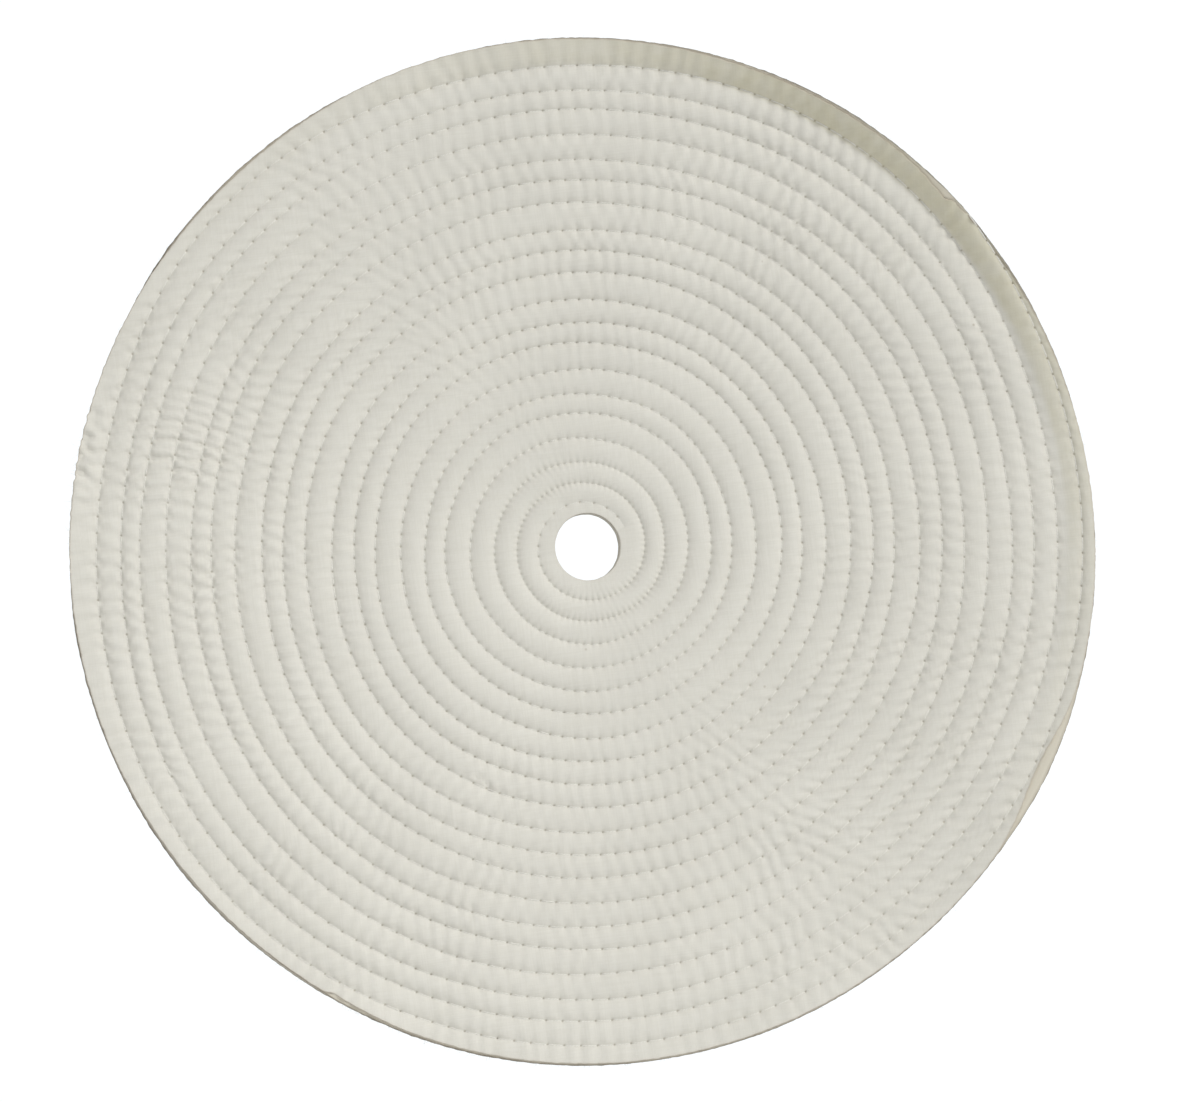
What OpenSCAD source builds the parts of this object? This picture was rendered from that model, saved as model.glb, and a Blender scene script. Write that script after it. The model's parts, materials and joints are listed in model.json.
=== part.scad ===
// Spiral-sewn cotton polishing wheel.
// A stack of plain cotton discs with a punched arbor hole, held together by one lockstitch seam
// that runs in a spiral from the hole to the rim. The wheel's centre is the origin and it spins
// about Y: its front face looks towards -Y and +Z is up.

/* [Wheel] */
// Outer diameter of the wheel
wheel_d = 304.8; // [150:0.1:400]
// Diameter of the punched arbor hole
bore_d = 19.05; // [12:0.01:32]

/* [Cloth] */
// Number of cotton discs in the stack
ply_count = 20; // [6:1:40]
// Thickness that one disc takes up in the stack
ply_t = 0.4; // [0.3:0.01:0.8]

/* [Spiral seam] */
// Distance from one turn of the seam to the next
seam_pitch = 6.8; // [4:0.1:14]
// Least cloth between the arbor hole and the middle of the seam
bore_margin = 1.6; // [1:0.1:8]
// Least cloth between the middle of the seam's last turn and the rim
rim_margin = 3.5; // [1:0.1:20]
// Where the seam starts beside the hole, in degrees counter-clockwise from the right
seam_start = 27; // [5:1:150]
// How far the seam's last half turn runs before it stops at the rim, in degrees
seam_end = 40; // [10:1:170]

/* [Thread] */
// Diameter of a thread where it goes down through the cloth
thread_d = 0.5; // [0.3:0.01:0.6]
// How much wider a thread is where it lies pressed into a face
thread_spread = 0.1; // [0.05:0.01:0.2]
// Height of a thread where it lies pressed into a face
thread_h = 0.25; // [0.15:0.01:0.28]
// Clearance between a lying thread and the cloth on each side
groove_gap = 0.1; // [0.05:0.01:0.3]
// Clearance all round a thread in the hole that the needle left
hole_gap = 0.25; // [0.1:0.01:0.4]

/* [Hidden] */
$fn = 96;
COTTON = [0.83, 0.82, 0.79];
THREAD = [0.89, 0.88, 0.84];

wheel_r = wheel_d / 2;
bore_r = bore_d / 2;
stack_t = ply_count * ply_t;
thread_w = thread_d + thread_spread;
front_z = stack_t / 2;

// The seam is a chain of half turns about two centres on the X axis, a quarter pitch each side of
// the wheel's centre. Each half turn's radius is half a pitch more than the last, so they meet
// smoothly on the X axis.
first_r = bore_r + bore_margin + seam_pitch / 4;
last_arc = floor((wheel_r - rim_margin - first_r) / (seam_pitch / 2));

// A cut runs this far past the face that it opens
past = 0.1;
// A thread's down leg starts this far inside the lying thread
leg_bite = 0.1;

FRONT_DISC = "front_cotton_disc";
BACK_DISC = "back_cotton_disc";

function disc_name(i) =
    i == 1 ? FRONT_DISC :
    i == ply_count ? BACK_DISC :
    str("cotton_disc_", i < 10 ? "0" : "", i);

function arc_r(k) = first_r + k * seam_pitch / 2;
function arc_x(k) = (k % 2 == 0 ? -1 : 1) * seam_pitch / 4;
function arc_from(k) = (k % 2) * 180 + (k == 0 ? seam_start : 0);
function arc_turn(k) = k == 0 ? 180 - seam_start : k == last_arc ? seam_end : 180;
function on_arc(k, angle) = [arc_x(k) + arc_r(k) * cos(angle), arc_r(k) * sin(angle)];

// Places on the seam where the two threads lock: the ends of every half turn
LOCKS = [
    for (k = [0:last_arc]) on_arc(k, arc_from(k)),
    on_arc(last_arc, arc_from(last_arc) + arc_turn(last_arc))
];

// The wheel is drawn lying down with its front face up, then stood up to face -Y
module stand_up() {
    rotate([90, 0, 0])
        children();
}

// Sweeps a flat profile, drawn about X = 0, along the whole seam
module along_seam() {
    for (k = [0:last_arc])
        translate([arc_x(k), 0, 0])
            rotate([0, 0, arc_from(k)])
                rotate_extrude(angle = arc_turn(k))
                    translate([arc_r(k), 0])
                        children();
}

// The groove that the tight thread presses into the front face, as a solid to cut away
module front_groove() {
    translate([0, 0, front_z - thread_h])
        along_seam()
            translate([-thread_w / 2 - groove_gap, 0])
                square([thread_w + 2 * groove_gap, thread_h + past]);
}

// One disc of cloth, pierced by the arbor hole and by a needle hole at each lock
module disc(i) {
    top = front_z - (i - 1) * ply_t;
    translate([0, 0, top - ply_t])
        difference() {
            cylinder(r = wheel_r, h = ply_t);
            translate([0, 0, -past])
                cylinder(r = bore_r, h = ply_t + 2 * past);
            for (p = LOCKS)
                translate([p[0], p[1], -past])
                    cylinder(d = thread_d + 2 * hole_gap, h = ply_t + 2 * past, $fn = 24);
        }
}

// A thread's section where it lies on the groove's floor, pressed flat and level with the face
module lying_section() {
    polygon([
        [-thread_w / 2, 0],
        [thread_w / 2, 0],
        [thread_w / 4, thread_h],
        [-thread_w / 4, thread_h]
    ]);
}

// A thread on the front face, with a leg at each lock that reaches the middle of the stack
module front_thread() {
    floor_z = front_z - thread_h;
    translate([0, 0, floor_z])
        along_seam()
            lying_section();
    for (p = LOCKS)
        translate([p[0], p[1], 0])
            cylinder(d = thread_d, h = floor_z + leg_bite, $fn = 24);
}

module front_cotton_disc() {
    color(COTTON)
        stand_up()
            difference() {
                disc(1);
                front_groove();
            }
}

module inner_cotton_disc(i) {
    color(COTTON)
        stand_up()
            disc(i);
}

module back_cotton_disc() {
    color(COTTON)
        stand_up()
            difference() {
                disc(ply_count);
                mirror([0, 0, 1])
                    front_groove();
            }
}

module needle_thread() {
    color(THREAD)
        stand_up()
            front_thread();
}

module bobbin_thread() {
    color(THREAD)
        stand_up()
            mirror([0, 0, 1])
                front_thread();
}

front_cotton_disc();
for (i = [2:ply_count - 1])
    inner_cotton_disc(i);
back_cotton_disc();
needle_thread();
bobbin_thread();
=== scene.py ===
"""A spiral-sewn cotton polishing wheel: twenty cotton discs quilted together by one lockstitch seam.

Everything on the wheel is worked out in millimetres, in the plane of the wheel (x to the right, z up,
both from the middle of the arbor hole) and as a height towards the front face. solid() turns that into
metres in the frame, where the front face looks towards -Y.
"""

import json
import math

import bpy
import numpy as np
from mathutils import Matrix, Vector


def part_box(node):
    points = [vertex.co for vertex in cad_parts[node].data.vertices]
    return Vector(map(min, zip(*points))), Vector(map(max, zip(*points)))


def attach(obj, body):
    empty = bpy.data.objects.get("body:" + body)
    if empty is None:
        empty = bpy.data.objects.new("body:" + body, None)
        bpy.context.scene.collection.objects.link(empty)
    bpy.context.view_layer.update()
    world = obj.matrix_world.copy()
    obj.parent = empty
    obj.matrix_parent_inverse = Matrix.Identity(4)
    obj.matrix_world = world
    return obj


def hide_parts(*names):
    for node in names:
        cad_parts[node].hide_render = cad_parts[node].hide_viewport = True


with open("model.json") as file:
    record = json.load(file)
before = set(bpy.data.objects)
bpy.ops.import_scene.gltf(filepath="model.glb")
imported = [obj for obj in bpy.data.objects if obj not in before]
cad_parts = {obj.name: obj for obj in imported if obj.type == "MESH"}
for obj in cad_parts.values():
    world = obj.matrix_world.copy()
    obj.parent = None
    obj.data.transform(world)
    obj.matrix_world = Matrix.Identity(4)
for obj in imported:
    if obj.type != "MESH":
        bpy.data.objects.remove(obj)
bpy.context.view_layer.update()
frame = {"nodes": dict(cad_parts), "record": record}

MM = 0.001
TURN = 2 * math.pi

# --- Sizes from the frame, in millimetres ---------------------------------------------------------

THREADS = ("needle_thread", "bobbin_thread")
DISCS = sorted(
    (name for name in frame["nodes"] if name not in THREADS),
    key=lambda name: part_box(name)[0].y,
)
PLIES = len(DISCS)
WHEEL_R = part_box(DISCS[0])[1].x / MM
HALF_STACK = (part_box(DISCS[-1])[1].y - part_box(DISCS[0])[0].y) / MM / 2
BORE_R = next(
    mount["dims"]["r_mm"] for mount in frame["record"]["mounts"] if mount["name"] == "arbor_bore"
)

# --- The seam -------------------------------------------------------------------------------------

SEAM_START = math.radians(27)  # where it starts beside the hole, counter-clockwise from the right
SEAM_TURNS = 20.04
SEAM_R0 = 12.4  # radius at the start
SEAM_PITCH = 6.925  # from one row to the next
SEAM_TIGHT = 2.2  # the first turns lie this much closer in
TIGHT_TURNS = 0.8
SEAM_SHIFT = (-1.2, -0.1)  # the rows' centre, from the hole's
# Where the cloth stretched under the needle, so that the rows bulge out or in towards the rim:
# the angle and its width in degrees, and the size at the rim
STRETCHES = ((55, 32, 3.5), (140, 22, 3.0), (183, 24, -1.5), (228, 40, 2.0), (335, 30, 1.3))
# How unevenly the cloth was turned under the needle: sizes in mm, radians in a turn, and phases
WANDER = ((0.45, 1.9, 0.5), (0.3, 4.3, 2.0))
SHAKE = ((0.16, 31, 1.0), (0.12, 47.3, 0))
STITCH_BASE = 40  # stitches in a turn: this many, and one more for each millimetre of radius
LONG_START = 0.63  # round the first half turn there are this share fewer
LONG_UNTIL = (0.25, 0.8)  # turns between which the long stitches give way to the usual ones
SHORT_STITCHES = 0.3  # round the second turn there are this share more
SHORT_AT = 1.9  # the turn where they are shortest
SHORT_WIDTH = 0.8

# --- The relief -----------------------------------------------------------------------------------

CREST = HALF_STACK + 0.25  # height of the face between two rows
ROW_DEPTH = 0.84  # depth of a row between two holes
HOLE_DEPTH = 0.98  # depth of a row at a hole
PIT_DEPTH = 0.32  # of the hole that the needle left, below the row
PIT_R = 0.30
ROLL_SHARPNESS = 2.0  # power by which the cloth rises from a row to the crest
INNER_ROW = 0.55  # the cloth behind a row lies this much deeper
INNER_ROW_WIDTH = 1.4
OUTER_RISE = 0.25  # the rolls stand this much higher out towards the rim
HOLE_DIP = 0.5  # and the face lies this much lower at the hole
HOLE_DIP_WIDTH = 9
DIMPLE = 0.12  # depth of the cloth that is drawn in round a needle hole
DIMPLE_R = 0.6
GATHER_LEAST = 0.01  # height of the gathers near the hole
GATHER = 0.15  # and how much higher they are near the rim
STACK_BEND = 0.30  # how far the whole stack is out of flat
EDGE_BEND = 0.25
MARGIN = 9.4  # width of the cloth that comes loose beside the rim
LIFTED_FRONT = 4.6  # how far the front margin stands up at the upper right
TURNED_LIP = 2.2  # how far its very edge is turned down again, on the right
LIFTED_FOLD = 1.1  # how far it stands up in the fold at the lower left
CLOTH_T = 0.34
CLOTH_SHARE = 0.82  # the most that a disc may fill of its share of the stack
FAR = 99.0  # stands for the distance to a row or an edge that isn't there


def smooth(x, low, high):
    """0 below low, 1 above high, and a smooth turn between them."""
    t = np.clip((x - low) / (high - low), 0, 1)
    return t * t * (3 - 2 * t)


def hump(angle, middle, width):
    """1 at that angle, falling to 0 a few widths away, in degrees."""
    away = (np.degrees(angle) - middle + 180) % 360 - 180
    return np.exp(-((away / width) ** 2))


def ripple(angle, lowest, highest, seed, fall=0.5):
    """A smooth random function of the angle, of about unit spread, that closes on itself."""
    rng = np.random.default_rng(seed)
    orders = np.arange(lowest, highest + 1)
    phases = rng.uniform(0, TURN, len(orders))
    sizes = rng.normal(0, 1, len(orders)) * orders**-fall
    total = np.zeros(np.shape(angle))
    for order, phase, size in zip(orders, phases, sizes):
        total += size * np.cos(order * angle + phase)
    return total / math.sqrt(np.sum(sizes**2) / 2)


def cloud(x, z, size, seed, waves=14):
    """A smooth random function of the place, of about unit spread, with humps about size apart."""
    rng = np.random.default_rng(seed)
    total = np.zeros(np.shape(x))
    for _ in range(waves):
        heading, phase = rng.uniform(0, TURN, 2)
        length = size * rng.uniform(1.2, 2.6)
        total += np.cos(TURN * (x * math.cos(heading) + z * math.sin(heading)) / length + phase)
    return total * math.sqrt(2 / waves)


def row_radius(t):
    """Distance of the seam from the middle of the hole, t turns after its start."""
    angle = SEAM_START + TURN * t
    r = SEAM_R0 + SEAM_PITCH * t - SEAM_TIGHT * (1 - np.exp(-np.maximum(t, 0) / TIGHT_TURNS))
    out = np.clip(r / WHEEL_R, 0, 1)
    shift = SEAM_SHIFT[0] * np.cos(angle) + SEAM_SHIFT[1] * np.sin(angle)
    stretch = out**1.6 * sum(size * hump(angle, at, width) for at, width, size in STRETCHES)
    wander = sum(size * np.sin(rate * t + phase) for size, rate, phase in WANDER)
    shake = sum(size * np.sin(rate * t + phase) for size, rate, phase in SHAKE)
    return r + shift * smooth(out, 0, 0.3) + stretch + (wander + shake) * smooth(out, 0.05, 0.3)


def stitch_rate(t):
    """Stitches in a turn at that place on the seam."""
    uneven = 1 - LONG_START * (1 - smooth(t, *LONG_UNTIL))
    uneven = uneven + SHORT_STITCHES * np.exp(-(((t - SHORT_AT) / SHORT_WIDTH) ** 2))
    return (STITCH_BASE + row_radius(t)) * uneven


# The number of stitches from the seam's start, counted up finely along it
TICKS = np.linspace(0, SEAM_TURNS, 40001)
TICK_RATES = stitch_rate(TICKS)
TICK_COUNTS = np.concatenate([[0], np.cumsum((TICK_RATES[1:] + TICK_RATES[:-1]) / 2 * np.diff(TICKS))])
STITCHES = round(float(TICK_COUNTS[-1]))
TICK_COUNTS *= STITCHES / TICK_COUNTS[-1]


def stitch_at(t):
    """How many stitches lie before that place on the seam. A whole number is a needle hole."""
    return np.interp(t, TICKS, TICK_COUNTS)


def turn_at(count):
    """The place on the seam where that many stitches lie before it."""
    return np.interp(count, TICK_COUNTS, TICKS)


# --- Laying out points over the wheel -------------------------------------------------------------

COARSE_STOPS = 110  # points in a turn of a line, on a face that another disc covers
CLOSE_STOPS = (0, 0.07, 0.15, 0.28, 0.5, 0.72, 0.85, 0.93)  # in a stitch, close to a row
OPEN_STOPS = (0, 0.16, 0.33, 0.5, 0.67, 0.84)  # and further off
CLOSE_SHARE = 0.18  # a line is close to a row within this share of the way to the next one
# Where the lines lie, as shares of the way from one row to the next, and from a row to an edge
FINE_ROLL = (0.035, 0.08, 0.14, 0.22, 0.33, 0.5, 0.67, 0.78, 0.86, 0.92, 0.965)
FINE_MARGIN = (0.035, 0.08, 0.16, 0.28, 0.45, 0.65, 0.82, 0.94)
COARSE_ROLL = (0.2, 0.5, 0.8)
COARSE_MARGIN = (0.2, 0.5, 0.8, 0.95)
HOLE_STOPS = 241  # points round the edge of the hole
RIM_STOPS = 1441
CUT = 0.0004  # width in turns of the strips that join the first turn's ends, and the last one's
SAME_PLACE = 1e-5  # turns within which two points would fall together
ROUNDING = 1e-9
BORE_EASE = 0.3  # the hole was punched with a radius this much larger
BORE_OVAL = 0.15


def hole_radius(angle):
    """The arbor hole as it was punched, a little higher than wide."""
    return BORE_R + BORE_EASE - BORE_OVAL * np.cos(2 * angle) + 0.02 * ripple(angle, 5, 30, 31)


class Layout:
    """Points over one face of a disc, in lines that follow the seam, and the triangles on them.

    Between two rows the lines wind out with the seam. Inside the first turn and outside the last one
    they change over to the round edge of the hole and to the rim. A point's zone is 0 between two
    rows, below 0 beside the hole and above 0 in the margin.
    """

    def __init__(self, fine, rim):
        self.fine = fine
        self.rim = rim
        self.parts = []
        self.size = 0
        self.triangles = []
        last = SEAM_TURNS - 1
        roll, margin = (FINE_ROLL, FINE_MARGIN) if fine else (COARSE_ROLL, COARSE_MARGIN)
        marks = (0, 1 - CUT, 1, last, last + CUT, SEAM_TURNS)
        inside = (0, 1 - CUT)
        outside = (last + CUT, SEAM_TURNS)
        seam = self.line(self.stops(0, SEAM_TURNS, 0, marks=marks), 0)
        rolls = [self.line(self.stops(0, last, min(s, 1 - s), int(s > 0.5)), s) for s in roll]
        inner = [self.line(self.stops(*inside, s), s, "inner") for s in margin[::-1]]
        hole = self.line(np.linspace(*inside, HOLE_STOPS), 1, "inner")
        outer = [self.line(self.stops(*outside, s), s, "outer") for s in margin]
        edge = self.line(np.linspace(*outside, RIM_STOPS), 1, "outer")
        self.join([self.part(seam, 0, last), *rolls, self.part(seam, 1, SEAM_TURNS, 1)])
        self.join([hole, *inner, self.part(seam, *inside)])
        self.join([self.part(seam, *outside), *outer, edge])
        start = [hole, *inner, self.part(seam, 0, last), *rolls, self.part(seam, 1, SEAM_TURNS)]
        self.close(start, 0, [hole, *inner, self.part(seam, *inside)], -1)
        end = [self.part(seam, 0, last), *rolls, self.part(seam, 1, SEAM_TURNS), *outer, edge]
        self.close([self.part(seam, *outside), *outer, edge], 0, end, -1)
        self.hole, self.edge = hole[0], edge[0]
        self.triangles = np.vstack(self.triangles)
        for name in self.parts[0]:
            setattr(self, name, np.concatenate([part[name] for part in self.parts]))
        self.x = self.r * np.cos(self.angle)
        self.z = self.r * np.sin(self.angle)

    def stops(self, low, high, from_row, ahead=0, marks=()):
        """Where the points of a line lie, in turns. On a fine face they follow the nearest row's
        stitches, which is the row that many turns ahead."""
        fixed = np.array(marks or (low, high))
        if not self.fine:
            return np.union1d(np.linspace(low, high, round((high - low) * COARSE_STOPS) + 1), fixed)
        offsets = CLOSE_STOPS if from_row < CLOSE_SHARE else OPEN_STOPS
        counts = (np.arange(STITCHES)[:, None] + np.array(offsets)[None, :]).ravel()
        t = turn_at(counts) - ahead
        apart = np.abs(t[:, None] - fixed[None, :]).min(1) > SAME_PLACE
        return np.union1d(t[(t > low) & (t < high) & apart], fixed)

    def line(self, t, share, kind="roll"):
        """Adds a line of points, that share of the way from the seam to what lies beyond it."""
        angle = SEAM_START + TURN * t
        row = row_radius(t)
        far = np.full(len(t), FAR)
        if kind == "inner":
            r = row + (hole_radius(angle) - row) * share
            inner_gap, outer_gap = far, row - r
        elif kind == "outer":
            r = row + (self.rim(angle) - row) * share
            inner_gap, outer_gap = r - row, far
        else:
            next_row = row_radius(t + 1)
            r = row + (next_row - row) * share
            inner_gap, outer_gap = r - row, next_row - r
            if share == 0:
                outer_gap = np.where(t > SEAM_TURNS - 1, far, outer_gap)
        numbers = np.arange(self.size, self.size + len(t))
        self.size += len(t)
        zone = {"roll": 0.0, "inner": -share, "outer": share}[kind]
        self.parts.append(
            {
                "angle": angle,
                "r": r,
                "inner_gap": inner_gap,
                "outer_gap": outer_gap,
                "inner_t": t,
                "outer_t": t + 1 if kind == "roll" else t,
                "zone": np.full(len(t), zone),
            }
        )
        return numbers, t, r

    @staticmethod
    def part(line, low, high, back=0):
        """The stretch of a line between two places, counted back by whole turns if asked."""
        numbers, t, r = line
        keep = (t >= low - ROUNDING) & (t <= high + ROUNDING)
        return numbers[keep], t[keep] - back, r[keep]

    def join(self, lines):
        """Fills the strips between each line and the next."""
        for (a, at, _), (b, bt, _) in zip(lines[:-1], lines[1:]):
            self.triangles.append(zipped(a, at, b, bt))

    def close(self, later, later_end, earlier, earlier_end):
        """Joins the ends of the lines on either side of a cut, from the inside out."""
        columns = []
        for lines, end in ((later, later_end), (earlier, earlier_end)):
            numbers = np.array([line[0][end] for line in lines])
            r = np.array([line[2][end] for line in lines])
            columns += [numbers, (r - r[0]) / (r[-1] - r[0])]
        self.triangles.append(zipped(*columns))


def zipped(a, at, b, bt):
    """Triangles that fill the strip between two lines of points which run side by side."""
    middle_a = (at[1:] + at[:-1]) / 2
    middle_b = (bt[1:] + bt[:-1]) / 2
    across_a = np.column_stack((a[:-1], b[np.searchsorted(middle_b, middle_a)], a[1:]))
    from_b = a[np.searchsorted(middle_a, middle_b, side="right")]
    across_b = np.column_stack((from_b, b[:-1], b[1:]))
    return np.vstack((across_a, across_b))


# --- The height of a face -------------------------------------------------------------------------


def nearest_row(lay):
    """Distance to the nearest row in mm, and the stitches before that place on it."""
    inner = lay.inner_gap <= lay.outer_gap
    gap = np.where(inner, lay.inner_gap, lay.outer_gap)
    t = np.where(inner, lay.inner_t, lay.outer_t)
    return gap, stitch_at(t), t


def roll_half_width(lay):
    """Half the distance between the rows, and half a pitch where there is a row on one side only."""
    both = np.minimum((lay.inner_gap + lay.outer_gap) / 2, SEAM_PITCH / 2)
    return both + (SEAM_PITCH / 2 - both) * (1 - smooth(lay.inner_t, 0, 0.1))


def warp(lay):
    """How far the whole stack bends towards the front."""
    whole = STACK_BEND * cloud(lay.x, lay.z, 110, 11)
    edge = EDGE_BEND * ripple(lay.angle, 2, 7, 12) * smooth(lay.r, 110, WHEEL_R)
    return whole + edge


def flare(lay, face):
    """How far the loose margin stands up towards the face's own side."""
    u = np.clip((lay.r - WHEEL_R + MARGIN) / MARGIN, 0, 1) ** 1.1
    if face == "front":
        size = 0.2 + LIFTED_FRONT * hump(lay.angle, 48, 56)
        size += 0.2 * ripple(lay.angle, 5, 16, 21) + LIFTED_FOLD * hump(lay.angle, 247, 6)
        lip = TURNED_LIP * hump(lay.angle, 18, 30) * smooth(lay.r, WHEEL_R - 4, WHEEL_R + 1)
        return size * u - lip
    return (0.45 + 0.35 * ripple(lay.angle, 3, 14, 22)) * u


# Where fine creases drag across the rows: x, z, reach and height in mm, the degrees by which they
# rise to the right, and the distance from one to the next
CREASE_ZONES = (
    (-126, 36, 36, 0.34, 6, 4.0),
    (-112, 66, 28, 0.32, 4, 3.0),
    (108, -50, 50, 0.25, 12, 3.4),
    (-40, -95, 40, 0.06, -20, 3.3),
)


def wrinkles(lay, gap, seed):
    """Fine creases that drag across the rows where the cloth was pulled while it was sewn."""
    total = np.zeros(len(lay.x))
    for n, (x, z, size, height, tilt, spacing) in enumerate(CREASE_ZONES):
        away = np.hypot(lay.x - x, lay.z - z) / size
        lean = math.radians(tilt) + 0.05 * cloud(lay.x, lay.z, 60, seed + n)
        across = lay.z * np.cos(lean) - lay.x * np.sin(lean)
        bend = 0.8 * cloud(lay.x, lay.z, 30, seed + 10 + n)
        wave = np.cos(TURN * (across + bend) / spacing)
        patch = 0.8 + 0.2 * cloud(lay.x, lay.z, 25, seed + 20 + n)
        total += height * np.exp(-(away**2)) * patch * wave
    return total * smooth(gap, 0.1, 1.1)


# Where the gathers stand higher or lower than elsewhere: x, z and reach in mm, and the share more
GATHER_ZONES = (
    (-135, 0, 50, 0.9),
    (112, -60, 50, 0.4),
    (75, 105, 40, 0.9),
    (-70, 105, 50, -0.4),
    (0, 120, 40, -0.25),
    (20, -125, 55, -0.5),
)
GRAIN_TILT = 10  # degrees by which the cloth's weft rises to the right


def gather_lean(lay):
    """How far the gathers lean along the row, in stitches for each millimetre across it. They follow
    the weft at the upper left and lower right, and run straight across the rows elsewhere."""
    off = (np.degrees(lay.angle) - GRAIN_TILT + 90) % 180 - 90
    share = smooth(off, -72, -48) * (1 - smooth(off, 15, 35))
    return np.tan(np.radians(-off * share + 5)) / (TURN * lay.r / (STITCH_BASE + lay.r))


def puckers(lay, seed):
    """Pillows between the stitches of each row, which run on across the roll as far as its middle."""
    width = np.minimum(lay.inner_gap + lay.outer_gap, 2 * SEAM_PITCH)
    share = np.where(lay.zone > 0, 0, np.clip(lay.inner_gap / width, 0, 1))
    share = 1 - (1 - smooth(share, 0.25, 0.75)) * smooth(lay.inner_t, 0, 0.02)
    share = share * (1 - smooth(lay.outer_t, SEAM_TURNS - 0.02, SEAM_TURNS) * (lay.zone == 0))
    lean = gather_lean(lay)
    drift = 0.10 * cloud(lay.x, lay.z, 9, seed + 1)
    inner = np.cos(TURN * (stitch_at(lay.inner_t) - lean * lay.inner_gap + drift))
    outer = np.cos(TURN * (stitch_at(lay.outer_t) + lean * lay.outer_gap + drift))
    size = GATHER_LEAST + GATHER * smooth(lay.r, 30, 110)
    for x, z, reach, more in GATHER_ZONES:
        size = size * (1 + more * np.exp(-((np.hypot(lay.x - x, lay.z - z) / reach) ** 2)))
    size = size * np.clip(1 + 0.22 * cloud(lay.x, lay.z, 20, seed + 2), 0.4, 1.6)
    near = np.minimum(lay.inner_gap, lay.outer_gap)
    wave = (1 - share) * inner + share * outer
    return -size * wave * smooth(near, 0, 0.9) * (1 + 0.5 * np.exp(-(((near - 1.3) / 0.8) ** 2)))


PINCH_AT = (-31.0, -69.0)
PINCH_WAY = (0.75, -0.66)  # direction in which the fold runs
PINCH_LENGTH = 4.2
PINCH_WIDTH = 0.75
PINCH_BEND = 0.06
PINCH_DEPTH = 0.55
CRUMPLE = 0.45  # height of the crumpled edge's folds
CRUMPLE_SIZE = 2.6  # and the distance between them


def marks_of_use(lay):
    """A pinched fold beside a row, low on the left, and the crumpled edge further up."""
    x, z = lay.x - PINCH_AT[0], lay.z - PINCH_AT[1]
    along = x * PINCH_WAY[0] + z * PINCH_WAY[1]
    across = z * PINCH_WAY[0] - x * PINCH_WAY[1] + PINCH_BEND * along**2
    pinch = np.exp(-((along / PINCH_LENGTH) ** 2)) * np.exp(-((across / PINCH_WIDTH) ** 2))
    crumple = hump(lay.angle, 170, 5) * smooth(lay.r, WHEEL_R - 6.5, WHEEL_R - 4)
    folds = CRUMPLE * crumple * cloud(lay.x, lay.z, CRUMPLE_SIZE, 71)
    return folds - PINCH_DEPTH * pinch


def face_height(lay, face, detail):
    """Height of the outer face above the middle of the stack, on its own side."""
    seed = 100 if face == "front" else 200
    gap, count, t = nearest_row(lay)
    half = roll_half_width(lay)
    beside = 1 - np.clip(gap / half, 0, 1)
    hole = np.cos(math.pi * count) ** 2 if detail else 0.5
    depth = (ROW_DEPTH + (HOLE_DEPTH - ROW_DEPTH) * hole) * (1 + 0.1 * cloud(lay.x, lay.z, 40, seed))
    height = CREST + 0.10 * cloud(lay.x, lay.z, 18, seed + 1)
    dip = HOLE_DIP * (1 - smooth(lay.r, BORE_R, BORE_R + HOLE_DIP_WIDTH))
    height += OUTER_RISE * smooth(lay.r, 60, 140) - dip
    height -= sewn(t) * (0.45 + 0.55 * smooth(t, 0.2, 0.7)) * depth * beside**ROLL_SHARPNESS
    if detail:
        along = (count - np.round(count)) * stitch_length(t)
        away = np.hypot(along, gap)
        height -= sewn(t) * DIMPLE * np.exp(-((away / DIMPLE_R) ** 2))
        height -= worn_in(lay, t) * PIT_DEPTH * np.exp(-((away / PIT_R) ** 4))
        height += puckers(lay, seed + 2)
        height += wrinkles(lay, gap, seed + 30)
        if face == "front":
            height += marks_of_use(lay)
        height += 0.035 * cloud(lay.x, lay.z, 4.5, seed + 5)
    return height + flare(lay, face)


def sewn(t):
    """1 along the seam, falling to 0 where it starts and ends."""
    return smooth(t, -0.002, 0.012) * (1 - smooth(t, SEAM_TURNS - 0.012, SEAM_TURNS + 0.001))


def worn_in(lay, t):
    """How open the needle's holes are: the short stitches near the middle lie in a closed row."""
    return sewn(t) * (0.25 + 0.75 * smooth(lay.r, 18, 75)) * (1 + 2 * (1 - smooth(t, 0.3, 0.7)))


def stitch_length(t):
    """Length in mm of the stitches at that place on the seam."""
    return TURN * row_radius(t) / stitch_rate(t)


LOOSE = 9  # the discs part from each other this far from the rim
UNEVEN = 0.55  # share by which one disc lies thicker or thinner there than the next


def shares(lay):
    """Where each face between two discs lies, as a share of the stack from the front."""
    loose = smooth(lay.r, WHEEL_R - LOOSE, WHEEL_R)
    gaps = []
    for n in range(PLIES):
        uneven = UNEVEN * ripple(lay.angle, 2, 22, 300 + n)
        gaps.append(np.clip(1 + loose * uneven, 0.25, 2.5))
    total = np.cumsum(gaps, axis=0)
    return np.vstack((np.zeros((1, len(lay.x))), total / total[-1]))


def interface_heights(lay):
    """Heights of the faces between the discs, from the front face to the back one."""
    gap, _, t = nearest_row(lay)
    front = face_height(lay, "front", False)
    back = -face_height(lay, "back", False)
    row = sewn(t) * INNER_ROW * np.clip(1 - gap / INNER_ROW_WIDTH, 0, 1)
    share = shares(lay)
    inner_front, inner_back = front - row, back + row
    heights = inner_front + (inner_back - inner_front) * share
    heights[0], heights[-1] = front, back
    return heights


# --- The discs ------------------------------------------------------------------------------------

RIM_SHIFT = (-0.45, -0.75)  # the discs were cut this far off the middle of the hole
RIM_IN = 0.3  # and this much too small
RIM_BULGE = (176, 14, 0.3)  # all of them reach out here: angle and width in degrees, and mm
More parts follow.
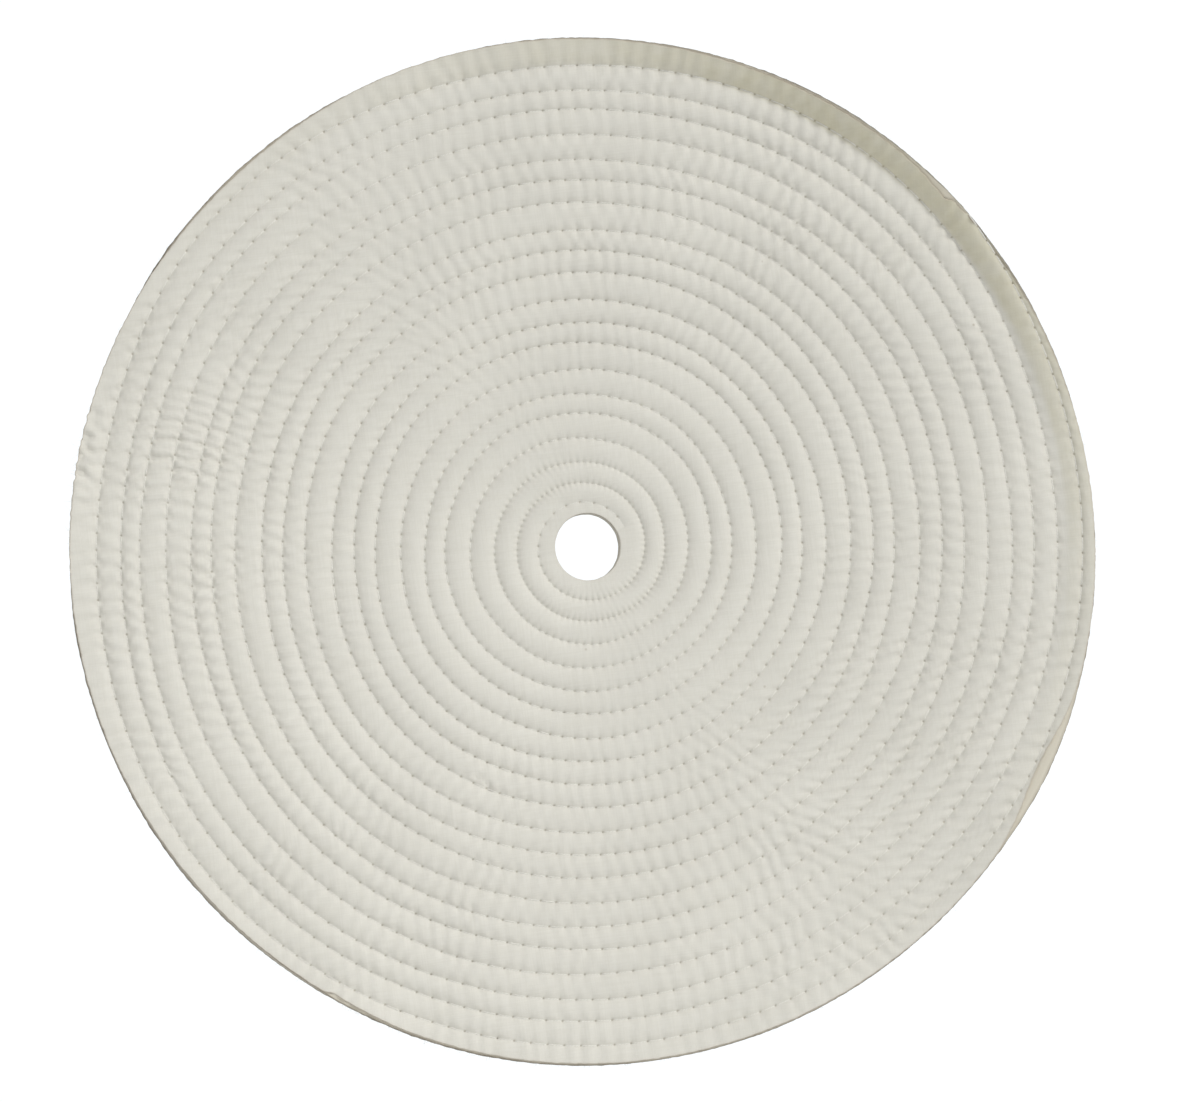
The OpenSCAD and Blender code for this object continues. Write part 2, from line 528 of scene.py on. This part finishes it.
# Where the front disc was cut shorter than the others, in the same way
FRONT_LEFT_SHORT = (195, 110, 0.3)
FRONT_SHORT = ((133, 15, 0.7), (55, 34, 0.8), (-26, 6.5, 3.0))
# Where it is torn back: the start and the length of the tear in degrees, and its depth
FRONT_TEARS = ((44, 9, 1.5), (240, 12, 1.0))
# Where the others were cut shorter, and where the second one shows beyond them
INNER_LEFT_SHORT = (168, 20, 0.85)
INNER_LOW_SHORT = (225, 40, 0.2)
SECOND_LONG = (-26, 8, 0.4)


def bump_at(angle, middle, width, size):
    """A rounded bulge: its place and width in degrees, and its size in mm."""
    return size * hump(angle, middle, width)


def step_at(angle, middle, width, size):
    """The same with a flat top."""
    return size * smooth(hump(angle, middle, width), 0.3, 0.8)


def torn_back(angle, at, length):
    """1 at that angle, falling to 0 at the end of a tear that long, in degrees."""
    after = (np.degrees(angle) - at + 180) % 360 - 180
    return smooth(after, -0.7, 0.5) * np.clip(1 - after / length, 0, 1) ** 1.6


def rim_of(ply):
    """The ragged cut edge of one disc, as a function of the angle that gives the radius."""
    seed = 400 + 10 * ply

    def radius(angle):
        shift = RIM_SHIFT[0] * np.cos(angle) + RIM_SHIFT[1] * np.sin(angle)
        slow = 0.20 * ripple(angle, 1, 7, seed)
        fine = 0.035 * ripple(angle, 30, 160, seed + 1, 0.2)
        frayed = 0.035 * ripple(angle, 160, 420, seed + 2, 0) * (1 + 3 * hump(angle, 170, 7))
        r = WHEEL_R - RIM_IN + shift + slow + fine + frayed + bump_at(angle, *RIM_BULGE)
        if ply == 0:
            r = r - step_at(angle, *FRONT_LEFT_SHORT)
            for place in FRONT_SHORT:
                r = r - bump_at(angle, *place)
            for at, length, depth in FRONT_TEARS:
                r = r - depth * torn_back(angle, at, length)
        else:
            r = r - step_at(angle, *INNER_LEFT_SHORT) - bump_at(angle, *INNER_LOW_SHORT)
        if ply == 1:
            r = r + bump_at(angle, *SECOND_LONG)
        return r

    return radius


def solid(name, points, triangles, attributes, material):
    """A smooth mesh from points in millimetres: across, up and height towards the front."""
    x, z, height = points
    co = np.column_stack((x, -height, z)) * MM
    mesh = bpy.data.meshes.new(name)
    mesh.vertices.add(len(co))
    mesh.vertices.foreach_set("co", co.ravel())
    mesh.loops.add(triangles.size)
    mesh.loops.foreach_set("vertex_index", triangles.ravel())
    mesh.polygons.add(len(triangles))
    mesh.polygons.foreach_set("loop_start", np.arange(0, triangles.size, 3))
    mesh.polygons.foreach_set("use_smooth", np.ones(len(triangles), bool))
    for key, values in attributes.items():
        layer = mesh.attributes.new(key, "FLOAT", "POINT")
        layer.data.foreach_set("value", values.astype(np.float32))
    mesh.update(calc_edges=True)
    mesh.validate()
    mesh.materials.append(material)
    obj = bpy.data.objects.new(name, mesh)
    bpy.context.scene.collection.objects.link(obj)
    return obj


def ring_wall(loop, far_loop, outwards):
    """Triangles between the two edges of a closed ring of points, one on each face of a disc."""
    a, b = loop, np.roll(loop, -1)
    c, d = far_loop, np.roll(far_loop, -1)
    if outwards:
        return np.vstack((np.column_stack((b, a, c)), np.column_stack((b, c, d))))
    return np.vstack((np.column_stack((a, b, d)), np.column_stack((a, d, c))))


def hole_shade(lay):
    """How much painted shade of a needle hole each point has, standing in for the shade down in the hole.
    """
    gap, count, t = nearest_row(lay)
    away = np.hypot((count - np.round(count)) * stitch_length(t), gap)
    return np.exp(-((away / PIT_R) ** 2)) * worn_in(lay, t)


EDGE_REACH = 0.18  # how far the dark of a cut edge, its dirt and painted shade, reaches in
HOLE_EDGE = 0.45  # how dark the hole's edge is, its dirt and the painted shade of its wall, against the rim's
MARGIN_SHADE_FROM = 9.5  # the painted shade on the front margin starts this far from the rim
MARGIN_SHADE_FULL = 7.5


def edge_shade(lay, ply):
    """1 at the rim's raw edge and less at the hole's, 0 a little way in: the cut edges' dirt together
    with painted shade of their walls. The inner discs get painted shade deeper in at the upper left,
    where their rim lies in shadow beyond the front disc."""
    reach = EDGE_REACH
    # painted shade: the inner discs' rim beyond the front disc at the upper left lies in shadow
    if ply > 0:
        reach = reach + 0.45 * hump(lay.angle, 134, 16)
    rim = np.where(lay.zone > 0, lay.rim(lay.angle) - lay.r, FAR)
    hole = lay.r - hole_radius(lay.angle)
    return np.maximum(np.exp(-rim / reach), HOLE_EDGE * np.exp(-hole / EDGE_REACH))


def painted_margin_shade(lay, ply):
    """1 where the front disc's loose margin gets painted shade, at the upper right, where it stands up away
    from the key light.
    """
    if ply > 0:
        return np.zeros(len(lay.r))
    return smooth(lay.r, WHEEL_R - MARGIN_SHADE_FROM, WHEEL_R - MARGIN_SHADE_FULL) * hump(lay.angle, 52, 46)


CUT_EDGES = []  # of each disc: x, z and height of the points along its rim


def disc_mesh(ply, material):
    """One disc as a closed shell of cloth, from its front face round both edges to its back face."""
    rim = rim_of(ply)
    faces = []
    for side in (0, 1):
        outer = (side == 0 and ply == 0) or (side == 1 and ply == PLIES - 1)
        lay = Layout(outer, rim)
        heights = interface_heights(lay)
        top, bottom = heights[ply], heights[ply + 1]
        thick = np.minimum(CLOTH_T, CLOTH_SHARE * (top - bottom))
        middle = (top + bottom) / 2
        height = middle + thick / 2 if side == 0 else middle - thick / 2
        if outer and side == 0:
            height = top + face_height(lay, "front", True) - face_height(lay, "front", False)
        if outer and side == 1:
            height = bottom - face_height(lay, "back", True) + face_height(lay, "back", False)
        shade = hole_shade(lay) if outer else np.zeros(len(lay.x))
        faces.append((lay, height + warp(lay), shade))
    (front, front_h, front_s), (back, back_h, back_s) = faces
    CUT_EDGES.append(np.column_stack((front.x, front.z, front_h))[front.edge])
    shift = len(front.x)
    triangles = np.vstack(
        (
            front.triangles,
            back.triangles[:, ::-1] + shift,
            ring_wall(front.edge, back.edge + shift, True),
            ring_wall(front.hole, back.hole + shift, False),
        )
    )
    points = [np.concatenate(pair) for pair in ((front.x, back.x), (front.z, back.z), (front_h, back_h))]
    attributes = {
        # painted shade of the needle holes
        "needle": np.concatenate((front_s, back_s)),
        # dirt and painted shade of the cut edges
        "raw_edge": np.concatenate((edge_shade(front, ply), edge_shade(back, ply))),
        # painted shade of the front margin at the upper right
        "soil": np.concatenate((painted_margin_shade(front, ply), painted_margin_shade(back, ply))),
    }
    return solid(DISCS[ply].replace("cotton_disc", "cotton_cloth"), points, triangles, attributes, material)


# --- The threads ----------------------------------------------------------------------------------

THREAD_R = 0.20
THREAD_SQUEEZE = (1.15, 0.85)  # its width and height, against the round thread's
THREAD_SIDES = 6
THREAD_STOPS = (0, 0.10, 0.24, 0.5, 0.76, 0.90)  # where its points lie, in a stitch
THREAD_PROUD = 0.03  # its middle lies this far above the bottom of the row
THREAD_SUNK = 0.13  # and this much lower where the seam starts
THREAD_DIVE = 1.0  # how far it goes down at a hole
THREAD_DIVE_LENGTH = 0.42


class Place:
    """Points right on the seam, with the same facts as those of a Layout."""

    def __init__(self, t):
        far = np.full(len(t), FAR)
        self.angle = SEAM_START + TURN * t
        self.r = row_radius(t)
        self.inner_gap = np.zeros(len(t))
        self.outer_gap = np.where(t > SEAM_TURNS - 1, far, row_radius(t + 1) - self.r)
        self.inner_t = t
        self.outer_t = t + 1
        self.x = self.r * np.cos(self.angle)
        self.z = self.r * np.sin(self.angle)


def tube_triangles(rings, sides):
    """Triangles of a tube with closed ends, ring after ring."""
    first = np.arange(rings - 1)[:, None] * sides
    a = (first + np.arange(sides)[None, :]).ravel()
    b = (first + (np.arange(sides) + 1)[None, :] % sides).ravel()
    walls = np.vstack((np.column_stack((a, b, b + sides)), np.column_stack((a, b + sides, a + sides))))
    fan = np.arange(1, sides - 1)
    start = np.column_stack((np.zeros(len(fan), int), fan + 1, fan))
    end = (rings - 1) * sides + np.column_stack((np.zeros(len(fan), int), fan, fan + 1))
    return np.vstack((walls, start, end))


def thread_mesh(name, face, material):
    """One thread, which dips into every needle hole and lies along the bottom of the row between."""
    counts = (np.arange(STITCHES)[:, None] + np.array(THREAD_STOPS)[None, :]).ravel()
    counts = np.append(counts, STITCHES)
    t = turn_at(counts)
    lay = Place(t)
    side = 1 if face == "front" else -1
    along = np.abs(counts - np.round(counts)) * stitch_length(t)
    lift = face_height(lay, face, False) + THREAD_PROUD - THREAD_SUNK * (1 - smooth(t, 0.3, 0.8))
    lift = lift - THREAD_DIVE * np.exp(-((along / THREAD_DIVE_LENGTH) ** 2))
    height = side * lift + warp(lay)
    middle = np.column_stack((lay.x, height, lay.z))
    ahead = np.gradient(middle, axis=0)
    ahead /= np.linalg.norm(ahead, axis=1)[:, None]
    out = np.column_stack((np.cos(lay.angle), np.zeros(len(t)), np.sin(lay.angle)))
    out -= ahead * np.sum(out * ahead, axis=1)[:, None]
    out /= np.linalg.norm(out, axis=1)[:, None]
    up = np.cross(out, ahead)
    wide, high = THREAD_SQUEEZE
    rings = []
    for n in range(THREAD_SIDES):
        a = TURN * n / THREAD_SIDES
        rings.append(middle + THREAD_R * (wide * math.cos(a) * out + high * math.sin(a) * up))
    points = np.stack(rings, axis=1).reshape(-1, 3)
    triangles = tube_triangles(len(t), THREAD_SIDES)
    steps = np.linalg.norm(np.diff(middle, axis=0), axis=1)
    attributes = {
        "along": np.repeat(np.cumsum(np.append(0, steps)), THREAD_SIDES),
        "around": np.tile(np.arange(THREAD_SIDES) / THREAD_SIDES, len(t)),
    }
    return solid(name, (points[:, 0], points[:, 2], points[:, 1]), triangles, attributes, material)


FIBRES = 2600
FIBRE_R = 0.028
FIBRE_LONGEST = 2.2
FIBRE_ROOT = 0.25  # how far inside the cut edge a fibre starts
# how far the loose fibres take the cut edges' dark colour
FIBRE_EDGE_DARK = 0.3
FIBRE_RINGS = 5
FIBRE_SIDES = 3


def fray_mesh(name, material):
    """Loose ends of yarn that stand out from the cut edges of the discs."""
    rng = np.random.default_rng(5)
    edges = np.array(CUT_EDGES)
    ply = rng.integers(0, PLIES, FIBRES)
    spot = rng.integers(0, edges.shape[1], FIBRES)
    x, z, height = edges[ply, spot].T
    angle = np.arctan2(z, x)
    ragged = 1 + 1.2 * hump(angle, 170, 8) + 0.6 * hump(angle, 250, 10)
    length = (0.25 + rng.exponential(0.45, FIBRES)).clip(0, FIBRE_LONGEST) * ragged
    turn = rng.normal(0, 0.7, FIBRES)
    rise = rng.normal(0, 0.45, FIBRES)
    curl = rng.normal(0, 0.9, FIBRES)
    points = np.zeros((FIBRES, FIBRE_RINGS, FIBRE_SIDES, 3))
    for k in range(FIBRE_RINGS):
        out = k / (FIBRE_RINGS - 1)
        heading = angle + turn + curl * out
        reach = length * out - FIBRE_ROOT
        thick = FIBRE_R * (1 - 0.6 * out)
        centre = (x + reach * np.cos(heading), z + reach * np.sin(heading), height - 0.12 + rise * reach)
        for side in range(FIBRE_SIDES):
            a = TURN * side / FIBRE_SIDES
            points[:, k, side, 0] = centre[0] - thick * math.cos(a) * np.sin(heading)
            points[:, k, side, 1] = centre[1] + thick * math.cos(a) * np.cos(heading)
            points[:, k, side, 2] = centre[2] + thick * math.sin(a)
    one = tube_triangles(FIBRE_RINGS, FIBRE_SIDES)
    shifts = np.arange(FIBRES)[:, None, None] * FIBRE_RINGS * FIBRE_SIDES
    triangles = (one[None, :, :] + shifts).reshape(-1, 3)
    points = points.reshape(-1, 3).T
    attributes = {"raw_edge": np.full(points.shape[1], FIBRE_EDGE_DARK)}
    return solid(name, points, triangles, attributes, material)


# --- Materials ------------------------------------------------------------------------------------


class Nodes:
    """Short names for the nodes of one material."""

    def __init__(self, name):
        self.material = bpy.data.materials.new(name)
        self.material.use_nodes = True
        self.tree = self.material.node_tree
        self.shader = self.tree.nodes["Principled BSDF"]

    def add(self, kind, **values):
        """A new node with those settings."""
        node = self.tree.nodes.new("ShaderNode" + kind)
        for key, value in values.items():
            setattr(node, key, value)
        return node

    def put(self, socket, value):
        """Links a socket to another one, or sets it to a plain value."""
        if isinstance(value, bpy.types.NodeSocket):
            self.tree.links.new(value, socket)
        else:
            socket.default_value = value

    def math(self, operation, a, b=0.0):
        node = self.add("Math", operation=operation)
        for socket, value in zip(node.inputs, (a, b)):
            self.put(socket, value)
        return node.outputs[0]

    def wave(self, value):
        """Round ridges from 0 to 1, with a valley at each whole number."""
        return self.math("ABSOLUTE", self.math("SINE", self.math("MULTIPLY", value, math.pi)))

    def vector(self, operation, a, b):
        node = self.add("VectorMath", operation=operation)
        self.put(node.inputs[0], a)
        if operation == "SCALE":
            self.put(node.inputs["Scale"], b)
        else:
            self.put(node.inputs[1], b)
        return node.outputs[0]

    def attribute(self, name):
        return self.add("Attribute", attribute_name=name).outputs["Fac"]

    def noise(self, place, scale, detail=2.0, roughness=0.5, output="Fac"):
        node = self.add("TexNoise")
        self.put(node.inputs["Vector"], place)
        self.put(node.inputs["Scale"], scale)
        self.put(node.inputs["Detail"], detail)
        self.put(node.inputs["Roughness"], roughness)
        return node.outputs[output]

    def between(self, value, low, high, to_low, to_high):
        """Stretches the range from low to high over another one."""
        node = self.add("MapRange", clamp=True)
        for socket, number in zip(node.inputs, (value, low, high, to_low, to_high)):
            self.put(socket, number)
        return node.outputs[0]

    def mix(self, share, a, b):
        node = self.add("Mix", data_type="RGBA")
        self.put(node.inputs["Factor"], share)
        self.put(node.inputs[6], a)
        self.put(node.inputs[7], b)
        return node.outputs[2]

    def bump(self, height, strength, distance):
        node = self.add("Bump")
        self.put(node.inputs["Strength"], strength)
        self.put(node.inputs["Distance"], distance)
        self.put(node.inputs["Height"], height)
        return node.outputs["Normal"]

    def surface(self, **values):
        """Sets the shader's sockets, whose names are written with _ for each space."""
        for key, value in values.items():
            self.put(self.shader.inputs[key.replace("_", " ")], value)


def colour(r, g, b):
    return (r, g, b, 1.0)


SLOT_COLOUR = {m["slot"]: colour(*m["base_color"]) for m in frame["record"]["materials"]}
YARN = 0.36 * MM  # from one yarn of the weave to the next
YARN_WANDER = 1.2 * MM  # how far the yarns stray from straight lines
RARE_FLECK = 0.93  # only this far up the scale of chance is there a fleck

# Colours that are mixed into the cloth's own: real tones and flecks, and painted shade for the yarn gaps,
# needle holes, cut edges and the front margin
CREAM = colour(0.62, 0.555, 0.42)
MOTTLED = colour(0.69, 0.665, 0.59)
THICK_YARN = colour(0.56, 0.535, 0.46)
# painted shade in the gaps between the yarns
SHADE_BETWEEN_YARNS = colour(0.40, 0.37, 0.31)
# painted shade, warm-tinted, for the front margin at the upper right
MARGIN_SHADE_COLOUR = colour(0.40, 0.345, 0.12)
FLECK = colour(0.30, 0.24, 0.15)
# painted shade for the needle holes
NEEDLE_HOLE_SHADE = colour(0.25, 0.20, 0.125)
# cut edges: their dirt together with painted shade of the shadowed edge walls, dark on the inner discs and
# tan on the outer ones
CUT_DIRT_AND_SHADE = colour(0.13, 0.095, 0.06)
CUT_TAN = colour(0.42, 0.35, 0.27)
# painted shade in the grooves between the thread's strands
SHADE_BETWEEN_STRANDS = colour(0.42, 0.385, 0.31)
SHEEN = colour(1.0, 0.98, 0.93)


def scaled(base, share):
    """A colour made lighter or darker."""
    return [channel * share for channel in base]


def weave_of(n, place, grain):
    """The relief of a plain weave with its yarns at that angle, and how thick the yarns are."""
    turned = n.add("Mapping")
    n.put(turned.inputs["Vector"], place)
    n.put(turned.inputs["Rotation"], (0, math.radians(grain), 0))
    drift = n.vector("SUBTRACT", n.noise(place, 45.0, 1.0, output="Color"), (0.5, 0.5, 0.5))
    woven = n.vector("ADD", turned.outputs[0], n.vector("SCALE", drift, YARN_WANDER))
    split = n.add("SeparateXYZ")
    n.put(split.inputs[0], woven)
    u = n.math("DIVIDE", split.outputs["X"], YARN)
    v = n.math("DIVIDE", split.outputs["Z"], YARN)
    over = n.math("FLOORED_MODULO", n.math("ADD", n.math("FLOOR", u), n.math("FLOOR", v)), 2.0)
    up_u = n.math("POWER", n.wave(u), n.between(over, 0, 1, 1.0, 0.4))
    up_v = n.math("POWER", n.wave(v), n.between(over, 0, 1, 0.4, 1.0))
    weave = n.math("MULTIPLY", up_u, up_v)
    # The thickness changes fast across a yarn and slowly along it
    slub_u = n.noise(n.vector("MULTIPLY", woven, (2600, 1, 60)), 1.0, 1.0)
    slub_v = n.noise(n.vector("MULTIPLY", woven, (60, 1, 2600)), 1.0, 1.0)
    return weave, n.math("ADD", slub_u, slub_v)


def flecked(n, place, light):
    """The same colour with a brown fleck here and there."""
    cells = n.add("TexVoronoi", feature="F1")
    n.put(cells.inputs["Vector"], place)
    n.put(cells.inputs["Scale"], 95)
    n.put(cells.inputs["Randomness"], 1)
    chance = n.add("SeparateColor")
    n.put(chance.inputs[0], cells.outputs["Color"])
    rare = n.math("GREATER_THAN", chance.outputs[0], RARE_FLECK)
    spot = n.between(cells.outputs["Distance"], 0.03, 0.06, 0.5, 0.0)
    return n.mix(n.math("MULTIPLY", rare, spot), light, FLECK)


def cloth_material(name, grain, tone, raw, cut=CUT_DIRT_AND_SHADE):
    """Plain-woven cotton with its yarns at that angle in degrees. tone is how creamy it is, and raw
    how dark its cut edge is, both from 0 to 1: the edge's dirt together with painted shade of the
    shadowed edge walls. cut is that dark colour."""
    n = Nodes(name)
    place = n.add("TexCoord").outputs["Object"]
    weave, slubs = weave_of(n, place, grain)
    fuzz = n.noise(place, 5200, 2.0, 0.6)
    patches = n.noise(place, 24, 3.0, 0.55)
    mottle = n.noise(place, 160, 3.0, 0.6)

    base = SLOT_COLOUR["cotton_cloth"]
    light = n.mix(n.between(patches, 0.3, 0.7, 0.0, 1.0), scaled(base, 0.965), scaled(base, 1.03))
    light = n.mix(n.between(mottle, 0.35, 0.65, 0.0, 0.22), light, MOTTLED)
    light = n.mix(n.between(slubs, 0.80, 1.20, 0.0, 0.26), light, THICK_YARN)
    # painted shade between the yarns of the weave
    light = n.mix(n.between(weave, 0.0, 0.6, 0.12, 0.0), light, SHADE_BETWEEN_YARNS)
    light = n.mix(tone, light, CREAM)
    # painted shade on the lifted front margin at the upper right
    soil = n.math("MULTIPLY", n.attribute("soil"), n.between(mottle, 0.3, 0.7, 0.25, 0.4))
    light = flecked(n, place, n.mix(soil, light, MARGIN_SHADE_COLOUR))
    # dirt and painted shade on the cut edges and their walls
    light = n.mix(n.math("MULTIPLY", n.attribute("raw_edge"), raw), light, cut)
    # painted shade in the needle holes
    light = n.mix(n.between(n.attribute("needle"), 0.1, 0.95, 0.0, 0.5), light, NEEDLE_HOLE_SHADE)

    relief = n.math("ADD", weave, n.math("MULTIPLY", slubs, 0.5))
    relief = n.math("ADD", relief, n.math("MULTIPLY", fuzz, 0.45))
    n.surface(
        Base_Color=light,
        Roughness=n.between(mottle, 0.3, 0.7, 0.86, 0.98),
        Specular_IOR_Level=0.25,
        Sheen_Weight=0.18,
        Sheen_Roughness=0.55,
        Sheen_Tint=SHEEN,
        Normal=n.bump(relief, 0.35, 0.07 * MM),
    )
    return n.material


def thread_material(name):
    """Twisted cotton sewing thread."""
    n = Nodes(name)
    along = n.math("MULTIPLY", n.attribute("along"), 1.1)
    around = n.math("MULTIPLY", n.attribute("around"), 3.0)
    strand = n.wave(n.math("ADD", along, around))
    place = n.add("TexCoord").outputs["Object"]
    fuzz = n.noise(place, 6000, 2.0, 0.6)
    stain = n.noise(place, 60)
    base = SLOT_COLOUR["cotton_thread"]
    light = n.mix(n.between(stain, 0.3, 0.7, 0.0, 1.0), scaled(base, 0.90), base)
    relief = n.math("ADD", strand, n.math("MULTIPLY", fuzz, 0.4))
    n.surface(
        # painted shade in the grooves between the strands
        Base_Color=n.mix(n.between(strand, 0.0, 0.5, 0.5, 0.0), light, SHADE_BETWEEN_STRANDS),
        Roughness=n.between(fuzz, 0.3, 0.7, 0.75, 0.95),
        Specular_IOR_Level=0.3,
        Sheen_Weight=0.15,
        Sheen_Roughness=0.5,
        Normal=n.bump(relief, 0.5, 0.08 * MM),
    )
    return n.material


def floor_material():
    """Pale matt paper."""
    n = Nodes("pale_floor")
    grain = n.noise(n.add("TexCoord").outputs["Object"], 40, 4.0)
    n.surface(
        Base_Color=n.mix(grain, colour(0.86, 0.86, 0.855), colour(0.90, 0.90, 0.895)),
        Roughness=n.between(grain, 0.3, 0.7, 0.7, 0.85),
    )
    return n.material


# --- Building the wheel ---------------------------------------------------------------------------

CLOTH = (
    cloth_material("cotton_front", 7, 0.0, 0.6, CUT_TAN),
    cloth_material("cotton_inner_a", 41, 0.12, 0.8),
    cloth_material("cotton_inner_b", 73, 0.50, 0.8),
    cloth_material("cotton_inner_c", 22, 0.25, 0.8),
    cloth_material("cotton_back", 55, 0.04, 0.6, CUT_TAN),
)
THREAD = thread_material("cotton_thread")


def cloth_for(ply):
    """The material of one disc: the outer two have their own, and the others take turns."""
    if ply == 0:
        return CLOTH[0]
    if ply == PLIES - 1:
        return CLOTH[-1]
    return CLOTH[1 + ply % 3]


def build_wheel():
    """Every piece of the wheel, with the CAD nodes that it stands for."""
    pieces = [disc_mesh(ply, cloth_for(ply)) for ply in range(PLIES)]
    fray = fray_mesh("rim_fray", CLOTH[1])
    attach(fray, "root")
    for ply, piece in enumerate(pieces):
        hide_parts(DISCS[ply])
        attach(piece, "root")
    for node, face in zip(THREADS, ("front", "back")):
        thread = thread_mesh(node + "_seam", face, THREAD)
        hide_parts(node)
        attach(thread, "root")


build_wheel()

# --- Floor, light and camera ----------------------------------------------------------------------

FLOOR_Z = -0.34
FLOOR_R = 1.3
FLOOR_SIDES = 96
CAMERA_DISTANCE = 1.404
CAMERA_LEFT = math.radians(4.5)  # the camera stands this far to the left of the wheel's axis
CAMERA_BELOW = math.radians(3.2)
CAMERA_LENS = 144.6
AIM = Vector((0.0005, 0, -0.0011))  # what it looks at
ROOM_LIGHT = 0.495
ROOM_COLOUR = colour(0.975, 1.0, 1.015)
BACKDROP_LIGHT = 1.04
BACKDROP_PLACE = Vector((0.08, 1, 0.055))  # direction of its middle, from the wheel
BACKDROP_EDGE = (math.cos(math.radians(26)), math.cos(math.radians(14)))


def build_floor():
    """A round floor some way below the wheel."""
    mesh = bpy.data.meshes.new("floor")
    angles = [TURN * k / FLOOR_SIDES for k in range(FLOOR_SIDES)]
    ring = [(FLOOR_R * math.cos(a), FLOOR_R * math.sin(a), FLOOR_Z) for a in angles]
    mesh.from_pydata(ring, [], [list(range(FLOOR_SIDES))])
    mesh.materials.append(floor_material())
    floor = bpy.data.objects.new("floor", mesh)
    bpy.context.scene.collection.objects.link(floor)


def area_light(name, place, target, size, power):
    """A round lamp that shines from one place at another."""
    data = bpy.data.lights.new(name, "AREA")
    data.shape = "DISK"
    data.size = size
    data.energy = power
    light = bpy.data.objects.new(name, data)
    bpy.context.scene.collection.objects.link(light)
    light.location = place
    light.rotation_euler = (Vector(target) - Vector(place)).to_track_quat("-Z", "Y").to_euler()


def sun_light(name, place, strength, spread):
    """Light that falls evenly from that direction, as soft as a source that many degrees across."""
    data = bpy.data.lights.new(name, "SUN")
    data.energy = strength
    data.angle = math.radians(spread)
    light = bpy.data.objects.new(name, data)
    bpy.context.scene.collection.objects.link(light)
    light.rotation_euler = Vector(place).to_track_quat("Z", "Y").to_euler()


def build_world():
    """Even studio light, with a white patch behind the wheel as its backdrop."""
    world = bpy.data.worlds.new("studio")
    world.use_nodes = True
    bpy.context.scene.world = world
    tree = world.node_tree
    place = tree.nodes.new("ShaderNodeTexCoord")
    towards = tree.nodes.new("ShaderNodeVectorMath")
    towards.operation = "DOT_PRODUCT"
    towards.inputs[1].default_value = BACKDROP_PLACE.normalized()
    patch = tree.nodes.new("ShaderNodeMapRange")
    patch.interpolation_type = "SMOOTHSTEP"
    for socket, value in zip(patch.inputs[1:], (*BACKDROP_EDGE, ROOM_LIGHT, BACKDROP_LIGHT)):
        socket.default_value = value
    tree.links.new(place.outputs["Generated"], towards.inputs[0])
    tree.links.new(towards.outputs["Value"], patch.inputs[0])
    tree.links.new(patch.outputs[0], tree.nodes["Background"].inputs["Strength"])
    tree.nodes["Background"].inputs["Color"].default_value = ROOM_COLOUR


def build_camera():
    """The photo's point of view: close to face on, a little from the left and from below."""
    data = bpy.data.cameras.new("camera")
    data.lens = CAMERA_LENS
    data.sensor_width = 36
    data.clip_start = 0.01
    camera = bpy.data.objects.new("camera", data)
    bpy.context.scene.collection.objects.link(camera)
    away = Vector(
        (
            -math.sin(CAMERA_LEFT),
            -math.cos(CAMERA_LEFT) * math.cos(CAMERA_BELOW),
            -math.sin(CAMERA_BELOW),
        )
    )
    camera.location = AIM + away.normalized() * CAMERA_DISTANCE
    camera.rotation_euler = (AIM - camera.location).to_track_quat("-Z", "Y").to_euler()
    bpy.context.scene.camera = camera


build_floor()
sun_light("key", place=(1.0, -1.0, 1.1), strength=1.90, spread=16)
area_light("front_fill", place=(-0.25, -0.70, -0.15), target=(-0.05, 0, 0), size=0.4, power=0.64)
area_light("rear_fill", place=(-1.5, 1.6, 1.4), target=(0, 0, 0), size=0.6, power=19.0)
build_world()
build_camera()
bpy.context.scene.view_settings.view_transform = "Standard"
